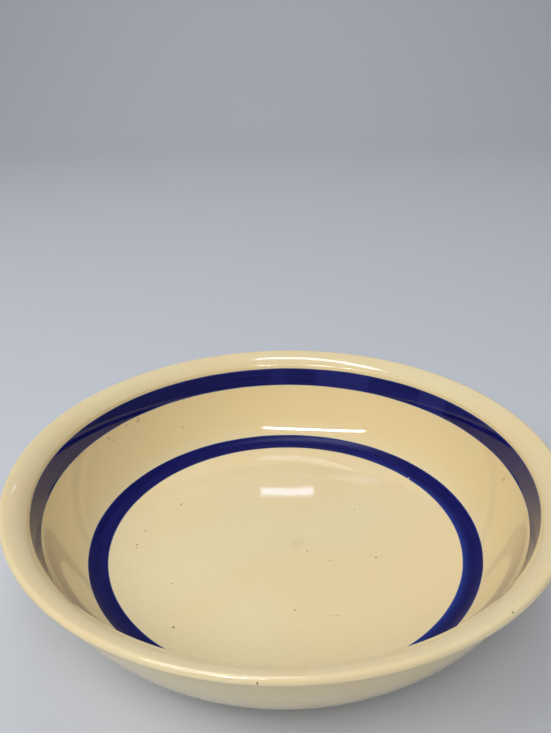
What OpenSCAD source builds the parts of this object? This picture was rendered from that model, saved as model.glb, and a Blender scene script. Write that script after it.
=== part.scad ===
// Wide-rimmed pasta serving bowl: a thrown clay body under a cream glaze, with two blue bands inside.
// Millimetres, +Z up. The origin is the middle of the foot ring, on the surface that the bowl stands on.

/* [Bowl] */
// Diameter over the rim
rim_d = 330; // [320:1:360]
// Height from the foot to the top of the rim
bowl_h = 75; // [74:0.5:90]
// Thickness of the wall with its glaze
wall_t = 7.6; // [6.6:0.1:8.6]
// Thickness of the floor inside the foot ring, with its glaze
floor_t = 9.3; // [8:0.1:10]

/* [Inside curve] */
// Radius of the round edge of the rim
lip_r = 2.4; // [1.8:0.1:2.8]
// Radius of the rim's crowned top
flange_r = 21.5; // [18:0.5:24.5]
// Slope of the rim's top beside its edge, in degrees
flange_outer_slope = 12; // [6:1:16]
// Slope of the rim's top where it turns down into the bowl, in degrees
flange_inner_slope = 48; // [42:1:52]
// Radius of the corner between the rim and the wall
corner_r = 3.8; // [2.5:0.1:5]
// Slope of the wall at its top, in degrees
wall_top_slope = 75; // [72:0.5:75.5]
// Slope of the wall at its bottom, in degrees
wall_low_slope = 45; // [44:1:50]
// Radius of the wall's curve
wall_r = 101; // [95:1:103]
// Radius of the cove between the wall and the floor
cove_r = 19; // [18.5:0.5:22]

/* [Outside curve] */
// Radius of the hollow under the rim
throat_r = 12; // [8:0.5:18]
// Outside diameter of the foot ring
foot_d = 204; // [180:1:210]
// Width of the foot ring
foot_w = 9; // [7:0.5:14]
// Radius of the hollow where the foot ring meets the base
foot_fillet_r = 3; // [1.5:0.5:3.5]
// Radius of the foot ring's two lower edges
foot_edge_r = 1.5; // [0.5:0.1:2]

/* [Glaze] */
// Thickness of the glaze
glaze_t = 0.7; // [0.5:0.05:1]
// Height of the bare clay below the glaze on the foot ring
bare_h = 2.5; // [2.1:0.1:3]

/* [Bands] */
// Thickness of the blue bands, which lie flush in the glaze
band_t = 0.35; // [0.3:0.05:0.45]
// Width of the upper band, measured down the wall
upper_band_w = 13.8; // [6:0.1:20]
// Distance from the top of the wall to the upper band
upper_band_gap = 0.9; // [0.5:0.1:10]
// Width of the lower band, measured up the cove
lower_band_w = 13.2; // [6:0.1:13.3]
// Distance from the edge of the flat floor to the lower band
lower_band_gap = 0.5; // [0.3:0.1:0.6]

/* [Hidden] */

clay_colour = [0.80, 0.70, 0.55];
glaze_colour = [0.86, 0.80, 0.63];
band_colour = [0.08, 0.09, 0.32];

// Largest gap between a curve and its straight steps, and the number of steps round the bowl
chord_error = 0.02;
round_steps = 180;

rim_r = rim_d / 2;
foot_r = foot_d / 2;
foot_bore_r = foot_r - foot_w;

// Slopes where the bands begin and end on the wall and on the cove
upper_band_high = wall_top_slope - turn_of(upper_band_gap, wall_r);
upper_band_low = upper_band_high - turn_of(upper_band_w, wall_r);
lower_band_low = turn_of(lower_band_gap, cove_r);
lower_band_high = lower_band_low + turn_of(lower_band_w, cove_r);

// Centres of the inside curve's arcs, from the edge of the rim to the floor: each runs into the next
lip_c = [rim_r - lip_r, bowl_h - lip_r];
flange_c = lip_c + (flange_r - lip_r) * facing(flange_outer_slope);
corner_c = flange_c + (corner_r - flange_r) * facing(flange_inner_slope);
wall_c = corner_c - (corner_r + wall_r) * facing(wall_top_slope);
cove_c = wall_c + (wall_r - cove_r) * facing(wall_low_slope);

floor_r = cove_c.x;
floor_z = cove_c.y - cove_r;
base_z = floor_z - wall_t;
recess_z = floor_z - floor_t;

// The hollow under the rim touches the round edge of the rim and the outside of the wall
outer_wall_r = wall_r + wall_t;
throat_c = meeting_point(lip_c, lip_r + throat_r, wall_c, outer_wall_r + throat_r);
throat_top = heading(lip_c, throat_c);
throat_foot = heading(wall_c, throat_c);

// Centres of the hollows on the two sides of the foot ring
foot_outer_c = [foot_r + foot_fillet_r, base_z - foot_fillet_r];
foot_inner_c = [foot_bore_r - foot_fillet_r, recess_z - foot_fillet_r];

// Degrees that a length along an arc takes up
function turn_of(length, r) = length / r * 180 / PI;
// Direction out of the bowl, square to a surface that rises at this slope
function facing(slope) = [sin(slope), -cos(slope)];
// Angle of the line from one point to another
function heading(a, b) = atan2(b.y - a.y, b.x - a.x);
function on_circle(c, r, angle) = c + r * [cos(angle), sin(angle)];
function steps(r, turn) = ceil(abs(turn) / (2 * acos(1 - chord_error / abs(r))));
function backwards(points) = [for (i = [len(points) - 1 : -1 : 0]) points[i]];
function but_first(points) = [for (i = [1 : len(points) - 1]) points[i]];

// Lower of the two points that lie ra from a and rb from b
function meeting_point(a, ra, b, rb) =
    let (gap = norm(b - a))
    let (turn = acos((gap * gap + ra * ra - rb * rb) / (2 * gap * ra)))
    on_circle(a, ra, heading(a, b) + turn);

// Points after the first of an arc about c, between two angles
function arc(c, r, from, to) =
    let (n = steps(r, to - from))
    [for (i = [1 : n]) on_circle(c, r, from + (to - from) * i / n)];

// The same between two slopes, at a depth below the inside surface: r is negative where that bulges
function slope_point(c, r, slope, depth) = c + (r + depth) * facing(slope);
function slope_arc(c, r, from, to, depth) =
    let (n = steps(r, to - from))
    [for (i = [1 : n]) slope_point(c, r, from + (to - from) * i / n, depth)];

// A stretch of the inside curve that a band covers, sunk to its own depth
function band_arc(c, r, from, to, depth, band_depth) =
    band_depth == depth
        ? slope_arc(c, r, from, to, depth)
        : concat(
            [slope_point(c, r, from, band_depth)],
            slope_arc(c, r, from, to, band_depth),
            [slope_point(c, r, to, depth)]
        );

// Inside curve from the axis to the outermost point of the rim
function inside_path(depth, band_depth) = concat(
    [[0, floor_z - depth]],
    [[floor_r, floor_z - depth]],
    slope_arc(cove_c, cove_r, 0, lower_band_low, depth),
    band_arc(cove_c, cove_r, lower_band_low, lower_band_high, depth, band_depth),
    slope_arc(cove_c, cove_r, lower_band_high, wall_low_slope, depth),
    slope_arc(wall_c, wall_r, wall_low_slope, upper_band_low, depth),
    band_arc(wall_c, wall_r, upper_band_low, upper_band_high, depth, band_depth),
    slope_arc(wall_c, wall_r, upper_band_high, wall_top_slope, depth),
    slope_arc(corner_c, -corner_r, wall_top_slope, flange_inner_slope, depth),
    slope_arc(flange_c, -flange_r, flange_inner_slope, flange_outer_slope, depth),
    slope_arc(lip_c, -lip_r, flange_outer_slope, -90, depth)
);

// Outside curve from the outermost point of the rim to the end of the glaze on the foot ring
function outside_path(depth) = concat(
    [[rim_r - depth, lip_c.y]],
    arc(lip_c, lip_r - depth, 0, throat_top),
    arc(throat_c, throat_r + depth, throat_top + 180, throat_foot + 180),
    arc(wall_c, outer_wall_r - depth, throat_foot, wall_low_slope - 90),
    arc(cove_c, cove_r + wall_t - depth, wall_low_slope - 90, -90),
    [[foot_outer_c.x, base_z + depth]],
    arc(foot_outer_c, foot_fillet_r + depth, 90, 180),
    [[foot_r - depth, bare_h]]
);

// Curve of the recess inside the foot ring, from the end of its glaze to the axis
function recess_path(depth) = concat(
    [[foot_bore_r + depth, bare_h]],
    [[foot_bore_r + depth, foot_inner_c.y]],
    arc(foot_inner_c, foot_fillet_r + depth, 0, 90),
    [[0, recess_z + depth]]
);

// Bare clay of the foot ring between the two glazes
function foot_path() =
    let (outer = foot_r - glaze_t - foot_edge_r)
    let (inner = foot_bore_r + glaze_t + foot_edge_r)
    concat(
        [[outer + foot_edge_r, foot_edge_r]],
        arc([outer, foot_edge_r], foot_edge_r, 0, -90),
        [[inner, 0]],
        arc([inner, foot_edge_r], foot_edge_r, -90, -180)
    );

module turned(points) {
    rotate_extrude($fn = round_steps)
        polygon(points);
}

// Ring of blue between the surface and the band's depth
module band(c, r, from, to) {
    surface_line = concat([slope_point(c, r, from, 0)], slope_arc(c, r, from, to, 0));
    under_line = concat([slope_point(c, r, from, band_t)], slope_arc(c, r, from, to, band_t));
    color(band_colour)
        turned(concat(surface_line, backwards(under_line)));
}

// Thrown and trimmed clay: floor, wall, rim and foot ring in one
module clay_body() {
    color(clay_colour)
        turned(concat(
            inside_path(glaze_t, glaze_t),
            but_first(outside_path(glaze_t)),
            foot_path(),
            recess_path(glaze_t)
        ));
}

// Glaze over the floor, the wall and the rim, with two shallow channels that hold the bands
module inside_glaze() {
    color(glaze_colour)
        turned(concat(inside_path(0, band_t), backwards(inside_path(glaze_t, glaze_t))));
}

// Glaze from the edge of the rim down to the side of the foot ring
module outside_glaze() {
    color(glaze_colour)
        turned(concat(outside_path(0), backwards(outside_path(glaze_t))));
}

// Glaze inside the foot ring
module base_glaze() {
    color(glaze_colour)
        turned(concat(recess_path(0), backwards(recess_path(glaze_t))));
}

// Blue band at the top of the wall, just under the rim
module upper_band() {
    band(wall_c, wall_r, upper_band_low, upper_band_high);
}

// Blue band on the cove round the floor
module lower_band() {
    band(cove_c, cove_r, lower_band_low, lower_band_high);
}

clay_body();
inside_glaze();
outside_glaze();
base_glaze();
upper_band();
lower_band();
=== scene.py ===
import math

import bmesh
import bpy
from mathutils import Euler, Matrix, Vector


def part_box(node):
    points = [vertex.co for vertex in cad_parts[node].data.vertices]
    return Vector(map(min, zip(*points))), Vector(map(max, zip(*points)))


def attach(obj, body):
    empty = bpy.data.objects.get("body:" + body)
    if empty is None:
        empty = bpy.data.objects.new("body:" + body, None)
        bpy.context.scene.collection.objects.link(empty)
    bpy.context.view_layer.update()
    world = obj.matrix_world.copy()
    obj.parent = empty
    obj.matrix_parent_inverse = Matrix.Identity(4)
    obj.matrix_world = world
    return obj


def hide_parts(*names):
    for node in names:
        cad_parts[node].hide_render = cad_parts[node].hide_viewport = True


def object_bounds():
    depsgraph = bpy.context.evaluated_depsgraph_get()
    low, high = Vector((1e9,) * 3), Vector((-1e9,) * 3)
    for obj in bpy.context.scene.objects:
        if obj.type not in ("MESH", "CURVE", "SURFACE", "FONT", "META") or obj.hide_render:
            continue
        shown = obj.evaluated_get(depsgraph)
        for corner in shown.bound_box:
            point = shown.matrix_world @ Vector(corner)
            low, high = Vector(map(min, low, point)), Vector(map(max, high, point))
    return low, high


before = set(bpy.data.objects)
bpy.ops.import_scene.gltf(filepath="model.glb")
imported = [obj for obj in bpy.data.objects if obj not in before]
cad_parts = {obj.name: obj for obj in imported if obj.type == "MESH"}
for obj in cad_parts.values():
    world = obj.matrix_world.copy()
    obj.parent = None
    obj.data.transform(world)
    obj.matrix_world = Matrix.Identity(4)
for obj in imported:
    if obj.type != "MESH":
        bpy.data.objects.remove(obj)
cad_low, cad_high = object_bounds()
scene = bpy.context.scene
scene.view_settings.view_transform = "Standard"

# Clay body: floor, wall, flared rim and foot ring in one piece of buff clay, shaped on a wheel and trimmed.
# Glaze hides all of it but the lower edge of the foot ring, which is wiped bare so that the bowl doesn't
# stick in the kiln. Its inside is a row of arcs that run into each other, as the glaze over it is.
rim_r = cad_high.x
rim_z = cad_high.z
lip_r = 0.0024
flange_r = 0.0215
corner_r = 0.0038
wall_r = 0.101
cove_r = 0.019
wall_t = 0.0076
throat_r = 0.012
foot_r = 0.102
foot_fillet_r = 0.003
foot_edge_r = 0.0015
glaze_t = 0.0007
flange_outer_slope = 12
flange_inner_slope = 48
wall_top_slope = 75
wall_low_slope = 45
bare_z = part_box("outside_glaze")[0].z
foot_bore_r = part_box("base_glaze")[1].x - glaze_t
recess_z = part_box("base_glaze")[1].z - glaze_t
upper_band_w = 0.0138
upper_band_gap = 0.0009
lower_band_w = 0.0132
lower_band_gap = 0.0005


def facing(slope):
    """Direction out of the bowl, in radius and height, square to a surface that rises at this slope."""
    return Vector((math.sin(math.radians(slope)), -math.cos(math.radians(slope))))


def turn_of(length, r):
    """Degrees that a length along an arc takes up."""
    return math.degrees(length / r)


def heading(start, end):
    """Angle in degrees of the line from one point to another."""
    return math.degrees(math.atan2(end.y - start.y, end.x - start.x))


def meeting_point(a, a_reach, b, b_reach):
    """The lower of the two points that lie these distances from a and from b."""
    gap = (b - a).length
    turn = math.acos((gap * gap + a_reach * a_reach - b_reach * b_reach) / (2 * gap * a_reach))
    angle = math.radians(heading(a, b)) + turn
    return a + a_reach * Vector((math.cos(angle), math.sin(angle)))


upper_band_high = wall_top_slope - turn_of(upper_band_gap, wall_r)
upper_band_low = upper_band_high - turn_of(upper_band_w, wall_r)
lower_band_low = turn_of(lower_band_gap, cove_r)
lower_band_high = lower_band_low + turn_of(lower_band_w, cove_r)

# Centres of the arcs, as radius and height, from the edge of the rim down to the floor and the foot
lip_c = Vector((rim_r - lip_r, rim_z - lip_r))
flange_c = lip_c + (flange_r - lip_r) * facing(flange_outer_slope)
corner_c = flange_c + (corner_r - flange_r) * facing(flange_inner_slope)
wall_c = corner_c - (corner_r + wall_r) * facing(wall_top_slope)
cove_c = wall_c + (wall_r - cove_r) * facing(wall_low_slope)
throat_c = meeting_point(lip_c, lip_r + throat_r, wall_c, wall_r + wall_t + throat_r)
floor_z = cove_c.y - cove_r
base_z = floor_z - wall_t
foot_outer_c = Vector((foot_r + foot_fillet_r, base_z - foot_fillet_r))
foot_inner_c = Vector((foot_bore_r - foot_fillet_r, recess_z - foot_fillet_r))

# Strokes of the inside from the floor's edge to the edge of the rim: centre, degrees, and if banded
inside_strokes = (
    (cove_c, lower_band_low, False),
    (cove_c, lower_band_high - lower_band_low, True),
    (cove_c, wall_low_slope - lower_band_high, False),
    (wall_c, upper_band_low - wall_low_slope, False),
    (wall_c, upper_band_high - upper_band_low, True),
    (wall_c, wall_top_slope - upper_band_high, False),
    (corner_c, flange_inner_slope - wall_top_slope, False),
    (flange_c, flange_outer_slope - flange_inner_slope, False),
    (lip_c, -90 - flange_outer_slope, False),
)
chord_gap = 0.000004
merge_gap = 0.000002
floor_steps = 24
sectors = 12
sector_steps = 24
crease_angle = 40


def start_profile(r, z):
    """A new mesh with the first point of a profile, which is drawn over X and Z. Gives both."""
    shape = bmesh.new()
    return shape, shape.verts.new((r, 0, z))


def straight(shape, pen, r, z, steps=1):
    """Draws a straight stroke to a radius and a height, and gives its end, as every stroke does."""
    start = pen.co.copy()
    end = Vector((r, 0, z))
    for step in range(1, steps + 1):
        pen = bmesh.ops.extrude_vert_indiv(shape, verts=[pen])["verts"][0]
        pen.co = start.lerp(end, step / steps)
    return pen


def curved(shape, pen, centre, degrees):
    """Swings the pen round a centre, in steps too small to see."""
    middle = Vector((centre.x, 0, centre.y))
    finest = 2 * math.acos(1 - chord_gap / (pen.co - middle).length)
    steps = math.ceil(abs(math.radians(degrees)) / finest)
    drawn = bmesh.ops.spin(
        shape, geom=[pen], cent=middle, axis=(0, -1, 0), angle=math.radians(degrees), steps=steps
    )
    return drawn["geom_last"][0]


def sunk(shape, pen, centre, depth):
    """Draws a short stroke straight away from an arc's centre."""
    middle = Vector((centre.x, 0, centre.y))
    end = pen.co + (pen.co - middle).normalized() * depth
    return straight(shape, pen, end.x, end.z)


def draw_inside(shape, pen):
    """Draws the inside curve from the floor's edge to the edge of the rim."""
    for centre, degrees, _ in inside_strokes:
        pen = curved(shape, pen, centre, degrees)
    return pen


def draw_outside(shape, pen, depth):
    """Draws the outside at a depth below its surface, from the edge of the rim to the foot's side."""
    throat_top = heading(lip_c, throat_c)
    throat_foot = heading(wall_c, throat_c)
    pen = curved(shape, pen, lip_c, throat_top)
    pen = curved(shape, pen, throat_c, throat_foot - throat_top)
    pen = curved(shape, pen, wall_c, wall_low_slope - 90 - throat_foot)
    pen = curved(shape, pen, cove_c, -wall_low_slope)
    pen = straight(shape, pen, foot_outer_c.x, base_z + depth)
    pen = curved(shape, pen, foot_outer_c, 90)
    return straight(shape, pen, foot_r - depth, bare_z)


def draw_recess(shape, pen, depth):
    """Draws the hollow inside the foot ring at a depth below its surface, up to the bowl's axis."""
    pen = straight(shape, pen, foot_bore_r + depth, foot_inner_c.y)
    pen = curved(shape, pen, foot_inner_c, 90)
    return straight(shape, pen, 0, recess_z + depth, floor_steps)


def turned(shape, name, coat=0):
    """Turns a profile round the bowl's axis into a piece. An open skin is given a coat's thickness."""
    sector = math.tau / sectors
    profile = shape.verts[:] + shape.edges[:]
    bmesh.ops.spin(shape, geom=profile, axis=(0, 0, 1), angle=sector, steps=sector_steps)
    slice_of_bowl = shape.verts[:] + shape.edges[:] + shape.faces[:]
    bmesh.ops.spin(
        shape,
        geom=slice_of_bowl,
        axis=(0, 0, 1),
        angle=math.tau - sector,
        steps=sectors - 1,
        use_duplicate=True,
    )
    bmesh.ops.remove_doubles(shape, verts=shape.verts[:], dist=merge_gap)
    bmesh.ops.recalc_face_normals(shape, faces=shape.faces[:])
    if coat:
        bmesh.ops.solidify(shape, geom=shape.faces[:], thickness=coat)
    mesh = bpy.data.meshes.new(name)
    shape.to_mesh(mesh)
    shape.free()
    mesh.shade_smooth()
    mesh.set_sharp_from_angle(angle=math.radians(crease_angle))
    piece = bpy.data.objects.new(name, mesh)
    scene.collection.objects.link(piece)
    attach(piece, "root")
    return piece


def paint(red, green, blue):
    """A colour that is written as it shows, in steps of 255, as the shader takes it."""
    shown = [step / 255 for step in (red, green, blue)]
    linear = [c / 12.92 if c <= 0.04045 else ((c + 0.055) / 1.055) ** 2.4 for c in shown]
    return (*linear, 1)


def node(tree, kind, inputs, **options):
    """A new shader node with its options set and its inputs set or linked."""
    made = tree.nodes.new(kind)
    for option, value in options.items():
        setattr(made, option, value)
    for socket, value in inputs.items():
        if isinstance(value, bpy.types.NodeSocket):
            tree.links.new(value, made.inputs[socket])
        else:
            made.inputs[socket].default_value = value
    return made


def maths(tree, operation, *values):
    """What a Math node makes of its values."""
    return node(tree, "ShaderNodeMath", dict(enumerate(values)), operation=operation).outputs[0]


def times(tree, value, factor):
    """A value or a mask times a factor, which may be a mask too."""
    return maths(tree, "MULTIPLY", value, factor)


def fade(tree, value, start, end):
    """A smooth climb from 0 where the value is at its start to 1 where it is at its end."""
    inputs = {"Value": value, "From Min": start, "From Max": end}
    return node(tree, "ShaderNodeMapRange", inputs, interpolation_type="SMOOTHSTEP").outputs[0]


def blend(tree, share, under, over):
    """One colour laid over another by a share."""
    return node(tree, "ShaderNodeMix", {0: share, 6: under, 7: over}, data_type="RGBA").outputs[2]


def grain(tree, place, size, detail=2.0):
    """Cloudy grain of about this size, in the unit of the place, from 0 to 1."""
    inputs = {"Vector": place, "Scale": 1 / size, "Detail": detail}
    return node(tree, "ShaderNodeTexNoise", inputs).outputs[0]


def height_of(tree, place):
    """Height of a place above what the bowl stands on."""
    return node(tree, "ShaderNodeSeparateXYZ", {0: place}).outputs["Z"]


def from_above(tree, place):
    """A place as it is seen from above, with no height."""
    inputs = {0: place, 1: (1, 1, 0)}
    return node(tree, "ShaderNodeVectorMath", inputs, operation="MULTIPLY").outputs[0]


def length_of(tree, arrow):
    """Length of an arrow."""
    return node(tree, "ShaderNodeVectorMath", {0: arrow}, operation="LENGTH").outputs["Value"]


def from_axis(tree, place):
    """Distance of a place from the bowl's axis."""
    return length_of(tree, from_above(tree, place))


relief_depth = 0.0001


def emboss(tree, shader, height, strength=1.0):
    """Gives a surface its finest relief, too fine for the mesh."""
    inputs = {"Height": height, "Strength": strength, "Distance": relief_depth}
    tree.links.new(node(tree, "ShaderNodeBump", inputs).outputs[0], shader.inputs["Normal"])


def new_finish(name):
    """A material that has only its shader. Gives its nodes, the shader and the place on the piece too."""
    material = bpy.data.materials.new(name)
    material.use_nodes = True
    tree = material.node_tree
    place = node(tree, "ShaderNodeTexCoord", {}).outputs["Object"]
    return material, tree, tree.nodes["Principled BSDF"], place


def new_group(name, inputs, outputs):
    """An empty node group with these sockets. Gives it, what comes in and the node that puts out."""
    group = bpy.data.node_groups.new(name, "ShaderNodeTree")
    for socket, kind in inputs.items():
        group.interface.new_socket(name=socket, in_out="INPUT", socket_type=kind)
    for socket, kind in outputs.items():
        group.interface.new_socket(name=socket, in_out="OUTPUT", socket_type=kind)
    return group, group.nodes.new("NodeGroupInput").outputs, group.nodes.new("NodeGroupOutput")


def put_out(group, output, **values):
    """Links values to a group's outputs of the same names."""
    for socket, value in values.items():
        group.links.new(value, output.inputs[socket])


# Iron specks, which the clay and the glazes share: small balls of iron that the surface cuts at any height
specks, given, output = new_group(
    "specks",
    {"Place": "NodeSocketVector", "Spacing": "NodeSocketFloat", "Radius": "NodeSocketFloat"},
    {"Mask": "NodeSocketFloat"},
)
per_metre = maths(specks, "DIVIDE", 1.0, given["Spacing"])
cells = node(specks, "ShaderNodeTexVoronoi", {"Vector": given["Place"], "Scale": per_metre})
speck_r = times(specks, given["Radius"], per_metre)
speck = fade(specks, cells.outputs["Distance"], speck_r, times(specks, speck_r, 0.4))
strength = node(specks, "ShaderNodeSeparateColor", {0: cells.outputs["Color"]}).outputs[0]
put_out(specks, output, Mask=times(specks, speck, strength))


def speckled(tree, place, spacing, r):
    """A mask of iron specks of up to this radius."""
    inputs = {"Place": place, "Spacing": spacing, "Radius": r}
    return node(tree, "ShaderNodeGroup", inputs, node_tree=specks).outputs["Mask"]


pale_buff = paint(214, 188, 143)
dark_buff = paint(188, 157, 110)
grit = paint(104, 74, 44)
scuffed = paint(150, 132, 104)
scuff_h = 0.0006
trim_lines_per_metre = 1800.0

bare_clay, tree, shader, place = new_finish("bare_clay")
buff = blend(tree, grain(tree, place, 0.006, 4.0), pale_buff, dark_buff)
gritty = blend(tree, speckled(tree, place, 0.003, 0.0005), buff, grit)
scuff = times(tree, fade(tree, height_of(tree, place), scuff_h, 0.0), grain(tree, place, 0.004, 3.0))
worn = blend(tree, scuff, gritty, scuffed)
tree.links.new(worn, shader.inputs["Base Color"])
inputs = {"W": from_axis(tree, place), "Scale": trim_lines_per_metre}
trim_lines = node(tree, "ShaderNodeTexNoise", inputs, noise_dimensions="1D").outputs[0]
tooth = maths(tree, "ADD", times(tree, grain(tree, place, 0.0006), 0.6), trim_lines)
emboss(tree, shader, tooth, 0.6)
shader.inputs["Roughness"].default_value = 0.85

foot_side_r = foot_r - glaze_t
foot_inner_r = foot_bore_r + glaze_t
shape, pen = start_profile(0, floor_z - glaze_t)
pen = straight(shape, pen, cove_c.x, floor_z - glaze_t, floor_steps)
pen = draw_inside(shape, pen)
pen = draw_outside(shape, pen, glaze_t)
pen = straight(shape, pen, foot_side_r, foot_edge_r)
pen = curved(shape, pen, Vector((foot_side_r - foot_edge_r, foot_edge_r)), -90)
pen = straight(shape, pen, foot_inner_r + foot_edge_r, 0)
pen = curved(shape, pen, Vector((foot_inner_r + foot_edge_r, foot_edge_r)), -90)
pen = straight(shape, pen, foot_inner_r, bare_z)
draw_recess(shape, pen, glaze_t)
clay = turned(shape, "clay")
clay.data.materials.append(bare_clay)
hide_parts("clay_body")

# Inside glaze: a cream glaze, poured in and swilled round to the edge of the rim, then fired glossy.
# It is one coat over floor, wall and rim, with two shallow channels in which the blue bands lie.
# It is warmer on the wall, where it ran thin, and wavy on the rim. Iron spots and stains show in it.
band_t = 0.00035
thin_from_z = 0.03
thin_to_z = 0.064
thick_rim_z = 0.071
wavy_from_z = 0.068
wavy_rim_z = 0.072
cream = paint(228, 213, 171)
cream_peach = paint(229, 209, 165)
thin_cream = paint(228, 204, 152)
freckled = paint(205, 183, 133)
stained = paint(140, 112, 66)
iron = paint(92, 68, 40)

# What all the glaze shares: clouds of two creams, fine freckles, specks of iron and an uneven surface
glaze_tone, given, output = new_group(
    "glaze_tone", {"Place": "NodeSocketVector"}, {"Colour": "NodeSocketColor", "Height": "NodeSocketFloat"}
)
place = given["Place"]
clouds = fade(glaze_tone, grain(glaze_tone, place, 0.07, 3.0), 0.35, 0.65)
mottle = blend(glaze_tone, clouds, cream, cream_peach)
freckles = fade(glaze_tone, grain(glaze_tone, place, 0.0022, 3.0), 0.45, 0.8)
mottle = blend(glaze_tone, times(glaze_tone, freckles, 0.14), mottle, freckled)
flecks = speckled(glaze_tone, place, 0.0045, 0.0003)
mottle = blend(glaze_tone, times(glaze_tone, flecks, 0.55), mottle, iron)
spots = speckled(glaze_tone, place, 0.016, 0.0006)
mottle = blend(glaze_tone, spots, mottle, iron)
ripple = times(glaze_tone, grain(glaze_tone, place, 0.03, 1.0), 0.35)
orange_peel = times(glaze_tone, grain(glaze_tone, place, 0.004, 1.0), 0.05)
dimple = times(glaze_tone, spots, -0.3)
surface = maths(glaze_tone, "ADD", maths(glaze_tone, "ADD", ripple, orange_peel), dimple)
put_out(glaze_tone, output, Colour=mottle, Height=surface)


def cream_glaze(tree, place):
    """Colour of the glaze at a place, and height of its surface."""
    tone = node(tree, "ShaderNodeGroup", {"Place": place}, node_tree=glaze_tone).outputs
    return tone["Colour"], tone["Height"]


# One oval mark, seen from above, that is full in its middle and fades towards its edge
oval, given, output = new_group(
    "oval",
    {
        "Place": "NodeSocketVector",
        "Centre": "NodeSocketVector",
        "Turn": "NodeSocketVector",
        "Reach": "NodeSocketVector",
    },
    {"Mask": "NodeSocketFloat"},
)
inputs = {
    "Vector": from_above(oval, given["Place"]),
    "Location": given["Centre"],
    "Rotation": given["Turn"],
    "Scale": given["Reach"],
}
own_place = node(oval, "ShaderNodeMapping", inputs, vector_type="TEXTURE").outputs[0]
put_out(oval, output, Mask=fade(oval, length_of(oval, own_place), 1.0, 0.35))


def marked(tree, place, x, y, reach, narrow, degrees):
    """A mask of one oval mark with this half length and half width, turned by degrees."""
    inputs = {
        "Place": place,
        "Centre": (x, y, 0),
        "Turn": (0, 0, math.radians(degrees)),
        "Reach": (reach, narrow, 1),
    }
    return node(tree, "ShaderNodeGroup", inputs, node_tree=oval).outputs["Mask"]


# The iron spots that show most: their places from above, and their radius
iron_spots = (
    (-0.071, 0.039, 0.0009),
    (-0.091, 0.010, 0.0007),
    (-0.094, -0.004, 0.0008),
    (-0.094, -0.007, 0.0006),
    (-0.067, -0.040, 0.0006),
    (-0.062, -0.075, 0.0009),
    (0.056, -0.019, 0.0008),
    (0.028, -0.021, 0.0006),
    (0.014, -0.012, 0.0007),
    (0.005, -0.063, 0.0007),
    (0.102, -0.128, 0.0006),
    (-0.0121, -0.1644, 0.0004),
)
# Stains and scratches: place from above, half length, half width, turn in degrees and strength
stains = (
    (-0.077, 0.111, 0.0011, 0.0005, 35, 1.0),
    (-0.107, 0.096, 0.0028, 0.0008, 60, 0.6),
    (-0.114, 0.088, 0.0011, 0.0005, 52, 0.9),
    (-0.124, 0.072, 0.0012, 0.0005, 60, 0.9),
    (-0.120, 0.074, 0.0040, 0.0005, 20, 0.3),
    (0.141, 0.018, 0.0012, 0.0026, 10, 0.4),
    (0.008, -0.004, 0.0080, 0.0060, 30, 0.14),
    (0.027, -0.0675, 0.0050, 0.0004, 5, 0.6),
)

inside_finish, tree, shader, place = new_finish("inside_glaze_finish")
colour, surface = cream_glaze(tree, place)
height = height_of(tree, place)
over_floor = fade(tree, height, floor_z, thin_from_z)
under_rim = fade(tree, height, thick_rim_z, thin_to_z)
on_wall = times(tree, over_floor, under_rim)
colour = blend(tree, times(tree, on_wall, 0.75), colour, thin_cream)
for x, y, r in iron_spots:
    colour = blend(tree, marked(tree, place, x, y, r, r, 0), colour, iron)
for x, y, reach, narrow, degrees, strength in stains:
    mark = times(tree, marked(tree, place, x, y, reach, narrow, degrees), strength)
    broken = times(tree, mark, fade(tree, grain(tree, place, 0.0016, 3.0), 0.2, 0.7))
    colour = blend(tree, broken, colour, stained)
tree.links.new(colour, shader.inputs["Base Color"])
on_rim = times(tree, fade(tree, height, wavy_from_z, wavy_rim_z), 2.0)
rim_waves = times(tree, grain(tree, place, 0.014, 1.0), on_rim)
emboss(tree, shader, maths(tree, "ADD", surface, rim_waves))
shader.inputs["Roughness"].default_value = 0.035

shape, pen = start_profile(0, floor_z)
pen = straight(shape, pen, cove_c.x, floor_z, floor_steps)
for centre, degrees, banded in inside_strokes:
    if banded:
        pen = sunk(shape, pen, centre, band_t)
    pen = curved(shape, pen, centre, degrees)
    if banded:
        pen = sunk(shape, pen, centre, -band_t)
pen = straight(shape, pen, rim_r - glaze_t, lip_c.y)
for centre, degrees, _ in reversed(inside_strokes):
    pen = curved(shape, pen, centre, -degrees)
straight(shape, pen, 0, floor_z - glaze_t, floor_steps)
inside_coat = turned(shape, "inside_coat")
inside_coat.data.materials.append(inside_finish)
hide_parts("inside_glaze")

# Outside glaze: the same cream glaze, dipped from the edge of the rim to the side of the foot ring.
# It meets the inside coat at the edge of the rim, and is toasted a little where it thins over the foot.
toasted = paint(196, 158, 98)
toast_h = 0.0022
toast_wander = 0.002

outside_finish, tree, shader, place = new_finish("outside_glaze_finish")
colour, surface = cream_glaze(tree, place)
wander = times(tree, grain(tree, place, 0.012), toast_wander)
toast = fade(tree, maths(tree, "SUBTRACT", height_of(tree, place), wander), bare_z + toast_h, bare_z)
colour = blend(tree, times(tree, toast, 0.7), colour, toasted)
tree.links.new(colour, shader.inputs["Base Color"])
emboss(tree, shader, surface)
shader.inputs["Roughness"].default_value = 0.05

shape, pen = start_profile(rim_r, lip_c.y)
draw_outside(shape, pen, 0)
outside_coat = turned(shape, "outside_coat", glaze_t)
outside_coat.data.materials.append(outside_finish)
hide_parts("outside_glaze")

# Base glaze: the island of glaze in the hollow under the bowl, cut off by the bare foot ring.
# It was dipped with the outside, so it has the same finish.
shape, pen = start_profile(foot_bore_r, bare_z)
draw_recess(shape, pen, 0)
base_coat = turned(shape, "base_coat", glaze_t)
base_coat.data.materials.append(outside_finish)
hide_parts("base_glaze")

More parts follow.
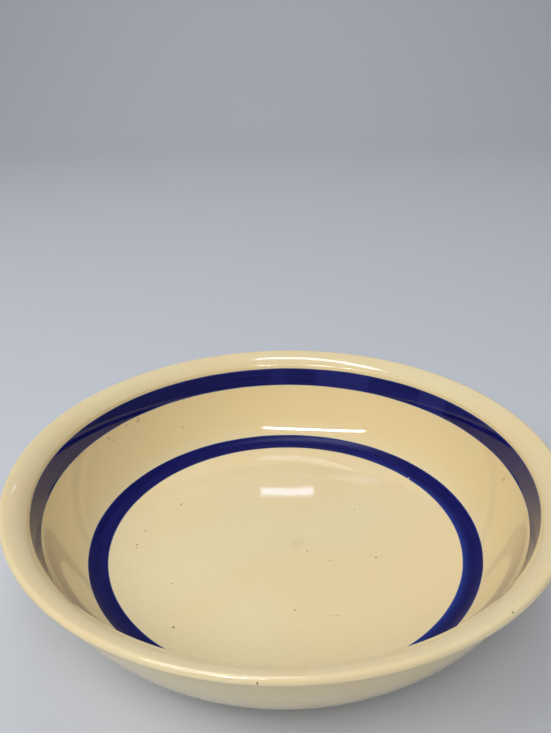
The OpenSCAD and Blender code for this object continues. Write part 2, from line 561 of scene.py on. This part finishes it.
# Blue bands: cobalt slip, laid on with a brush as the bowl turned on its wheel, and glazed over.
# The colour is deep where the brush was full, streaked along the ring, paler at its two edges, and paler
# along one side of the lower band, which has a nick where the cream shows. Paler patches at the far right
# of the upper band are painted reflection.
navy = paint(15, 14, 76)
brushed = paint(23, 26, 98)
reflected_blue = paint(38, 42, 114)
pale_side_blue = paint(42, 66, 152)
edge_blue = paint(66, 92, 150)
pale_edge_w = 0.0009
edge_waver = 0.0004
edge_blur = 0.0001


def bearing(tree, place):
    """Direction of a place from the bowl's axis, seen from above, as an arrow of length 1."""
    level = from_above(tree, place)
    return node(tree, "ShaderNodeVectorMath", {0: level}, operation="NORMALIZE").outputs[0]


def towards(tree, place, x, y):
    """How nearly a place lies this way from the bowl's axis: about 1 there, and -1 on the other side."""
    inputs = {0: bearing(tree, place), 1: (x, y, 0)}
    return node(tree, "ShaderNodeVectorMath", inputs, operation="DOT_PRODUCT").outputs["Value"]


# The brush's work, which the two bands share: streaks along the ring, and wavering, paler edges
brushwork, given, output = new_group(
    "brushwork",
    {"Place": "NodeSocketVector", "Across": "NodeSocketFloat", "Width": "NodeSocketFloat"},
    {"Colour": "NodeSocketColor", "Cover": "NodeSocketFloat"},
)
lane = node(brushwork, "ShaderNodeCombineXYZ", {"Z": times(brushwork, given["Across"], 3.0)}).outputs[0]
inputs = {0: bearing(brushwork, given["Place"]), 1: lane}
stroke = node(brushwork, "ShaderNodeVectorMath", inputs, operation="ADD").outputs[0]
streaks = fade(brushwork, grain(brushwork, stroke, 0.33, 4.0), 0.3, 0.75)
other_side = maths(brushwork, "SUBTRACT", 1.0, given["Across"])
near_edge = maths(brushwork, "MINIMUM", given["Across"], other_side)
waver = times(brushwork, grain(brushwork, given["Place"], 0.02, 3.0), edge_waver)
inset = maths(brushwork, "SUBTRACT", times(brushwork, near_edge, given["Width"]), waver)
paled = times(brushwork, fade(brushwork, inset, pale_edge_w, 0.0), 0.8)
colour = blend(brushwork, streaks, navy, brushed)
colour = blend(brushwork, paled, colour, edge_blue)
put_out(brushwork, output, Colour=colour, Cover=fade(brushwork, inset, -edge_blur, edge_blur))


def across_band(tree, place, centre, low, high):
    """How far across a band on an arc a place lies, from 0 at its low slope to 1 at its high one."""
    out = maths(tree, "SUBTRACT", from_axis(tree, place), centre.x)
    down = maths(tree, "SUBTRACT", centre.y, height_of(tree, place))
    from_low = maths(tree, "SUBTRACT", maths(tree, "ARCTAN2", out, down), math.radians(low))
    return maths(tree, "DIVIDE", from_low, math.radians(high - low))


def brush_on(tree, place, across, width):
    """The brush's blue at a place on a band, and how far it covers the cream."""
    inputs = {"Place": place, "Across": across, "Width": width}
    work = node(tree, "ShaderNodeGroup", inputs, node_tree=brushwork).outputs
    return work["Colour"], work["Cover"]


def glaze_over(tree, shader, place, blue, cover):
    """Lays a band's blue over the cream as far as it covers it, and gives both the glaze's surface."""
    colour, surface = cream_glaze(tree, place)
    tree.links.new(blend(tree, cover, colour, blue), shader.inputs["Base Color"])
    emboss(tree, shader, surface)


def draw_band(name, centre, r, low, high, surface_c, surface_turn):
    """One band between two slopes: its surface, on an arc of its own, and its back in the channel."""
    start = centre + r * facing(low)
    shape, pen = start_profile(start.x, start.y)
    first = pen
    pen = curved(shape, pen, surface_c, surface_turn)
    pen = sunk(shape, pen, centre, band_t)
    pen = curved(shape, pen, centre, low - high)
    shape.edges.new((pen, first))
    return turned(shape, name)


upper_finish, tree, shader, place = new_finish("upper_band_finish")
across = across_band(tree, place, wall_c, upper_band_low, upper_band_high)
blue, cover = brush_on(tree, place, across, upper_band_w)
# Paler patches of blue along the far right of the upper band are painted reflection of the room in the
# glaze.
reflection_patches = fade(tree, grain(tree, bearing(tree, place), 0.22, 0.0), 0.47, 0.53)
far_right = fade(tree, towards(tree, place, 0.5, 0.87), 0.75, 0.95)
painted_reflections = times(tree, times(tree, reflection_patches, far_right), 0.5)
glaze_over(tree, shader, place, blend(tree, painted_reflections, blue, reflected_blue), cover)
shader.inputs["Roughness"].default_value = 0.05

# The upper band's blue lies thick, so it swells out of the wall a little between its two edges
swell_r = 0.115
half_band = math.radians((upper_band_high - upper_band_low) / 2)
half_swell = math.asin(wall_r * math.sin(half_band) / swell_r)
swell_reach = wall_r * math.cos(half_band) + swell_r * math.cos(half_swell)
swell_c = wall_c + swell_reach * facing((upper_band_low + upper_band_high) / 2)
swell_turn = -2 * math.degrees(half_swell)
upper_ring = draw_band(
    "upper_ring", wall_c, wall_r, upper_band_low, upper_band_high, swell_c, swell_turn
)
upper_ring.data.materials.append(upper_finish)
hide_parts("upper_band")

lower_finish, tree, shader, place = new_finish("lower_band_finish")
across = across_band(tree, place, cove_c, lower_band_low, lower_band_high)
blue, cover = brush_on(tree, place, across, lower_band_w)
# The lower band is paler and bluer towards its inner edge on its right side.
right_side = fade(tree, towards(tree, place, 0.97, -0.1), 0.1, 0.9)
paler_inner_edge = times(tree, right_side, fade(tree, across, 0.4, 0.0))
blue = blend(tree, times(tree, paler_inner_edge, 0.55), blue, pale_side_blue)
nick = marked(tree, place, 0.0895, 0.0665, 0.0014, 0.0009, 37)
cover = times(tree, cover, maths(tree, "SUBTRACT", 1.0, nick))
glaze_over(tree, shader, place, blue, cover)
shader.inputs["Roughness"].default_value = 0.28
shader.inputs["Specular IOR Level"].default_value = 0.14

lower_turn = lower_band_high - lower_band_low
lower_ring = draw_band(
    "lower_ring", cove_c, cove_r, lower_band_low, lower_band_high, cove_c, lower_turn
)
lower_ring.data.materials.append(lower_finish)
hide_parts("lower_band")

# Stage: a plain pale floor that turns up into a backdrop behind the bowl.
floor_half = 2.5
backdrop_h = 1.8
sweep_r = 0.9
sweep_steps = 16
pale_grey = paint(194, 198, 206)

shape = bmesh.new()
bmesh.ops.create_grid(shape, x_segments=1, y_segments=1, size=floor_half)
back_edge = [edge for edge in shape.edges if min(v.co.y for v in edge.verts) > 0]
raised = bmesh.ops.extrude_edge_only(shape, edges=back_edge)["geom"]
lifted = [v for v in raised if isinstance(v, bmesh.types.BMVert)]
bmesh.ops.translate(shape, verts=lifted, vec=(0, 0, backdrop_h))
crease = [edge for edge in shape.edges if len(edge.link_faces) == 2]
bmesh.ops.bevel(
    shape, geom=crease, affect="EDGES", offset=sweep_r, segments=sweep_steps, profile=0.5, material=-1
)
stage_mesh = bpy.data.meshes.new("stage")
shape.to_mesh(stage_mesh)
shape.free()
stage_mesh.shade_smooth()
stage = bpy.data.objects.new("stage", stage_mesh)
scene.collection.objects.link(stage)
stage_finish, _, shader, _ = new_finish("stage_finish")
shader.inputs["Base Color"].default_value = pale_grey
shader.inputs["Roughness"].default_value = 0.7
stage.data.materials.append(stage_finish)

# Light: a dim world, wide soft lamps at the left, in front and behind, and lamps that the glaze mirrors.
world = bpy.data.worlds.new("room")
scene.world = world
world.use_nodes = True
background = world.node_tree.nodes["Background"]
background.inputs["Color"].default_value = (0.95, 0.97, 1, 1)
background.inputs["Strength"].default_value = 0.14


def lamp(name, place, along, length, width, glow, tint, mirrored):
    """A flat lamp that faces the bowl, with its length along a direction. A mirrored one only shows in the
    glaze, and any other only lights the bowl."""
    light = bpy.data.lights.new(name, "AREA")
    light.shape = "RECTANGLE"
    light.size = length
    light.size_y = width
    light.color = tint
    light.energy = glow * math.pi * length * width
    bowl_middle = Vector((0, 0, rim_z / 2))
    away = (Vector(place) - bowl_middle).normalized()
    side = away.cross(Vector(along)).normalized()
    holder = bpy.data.objects.new(name, light)
    holder.matrix_world = Matrix((side.cross(away), side, away)).transposed().to_4x4()
    holder.location = place
    holder.visible_glossy = mirrored
    holder.visible_diffuse = not mirrored
    scene.collection.objects.link(holder)


white = (1, 1, 1)
cool_white = (0.7, 0.77, 1)
daylight = (0.6, 0.68, 1)
lamp("soft_left", (-1.1, -0.4, 1.3), (0, 1, 0), 1.0, 1.0, 3.6, white, False)
lamp("soft_front", (0, -1.75, 2.1), (1, 0, 0), 1.8, 1.8, 4.32, white, False)
lamp("soft_back", (0, 1.5, 2.1), (1, 0, 0), 1.6, 1.6, 2.0, white, False)
lamp("ceiling_panel", (-0.215, 0.07, 1.35), (-0.61, -0.24, 0), 0.66, 0.2, 14.0, cool_white, True)
lamp("tube", (-0.36, -0.735, 1.35), (-1.23, 0.17, 0), 1.25, 0.016, 400.0, white, True)
lamp("far_window", (0.01, 1.965, 1.35), (1, 0, 0), 0.2, 0.028, 7.0, daylight, True)

# Camera: stands in front of the bowl and looks down into it.
photo_h = 733
focal_px = 743.41
pitch = math.radians(25.37)
yaw = math.radians(-0.577)
roll = math.radians(-1.098)
camera = bpy.data.cameras.new("camera")
camera.sensor_width = 36
camera.lens = focal_px * camera.sensor_width / photo_h
viewer = bpy.data.objects.new("camera", camera)
viewer.location = (0, -0.38283, 0.31975)
level_aim = Euler((0, 0, -yaw)).to_matrix() @ Euler((math.pi / 2 - pitch, 0, 0)).to_matrix()
viewer.rotation_euler = (level_aim @ Euler((0, 0, roll)).to_matrix()).to_euler()
scene.collection.objects.link(viewer)
scene.camera = viewer
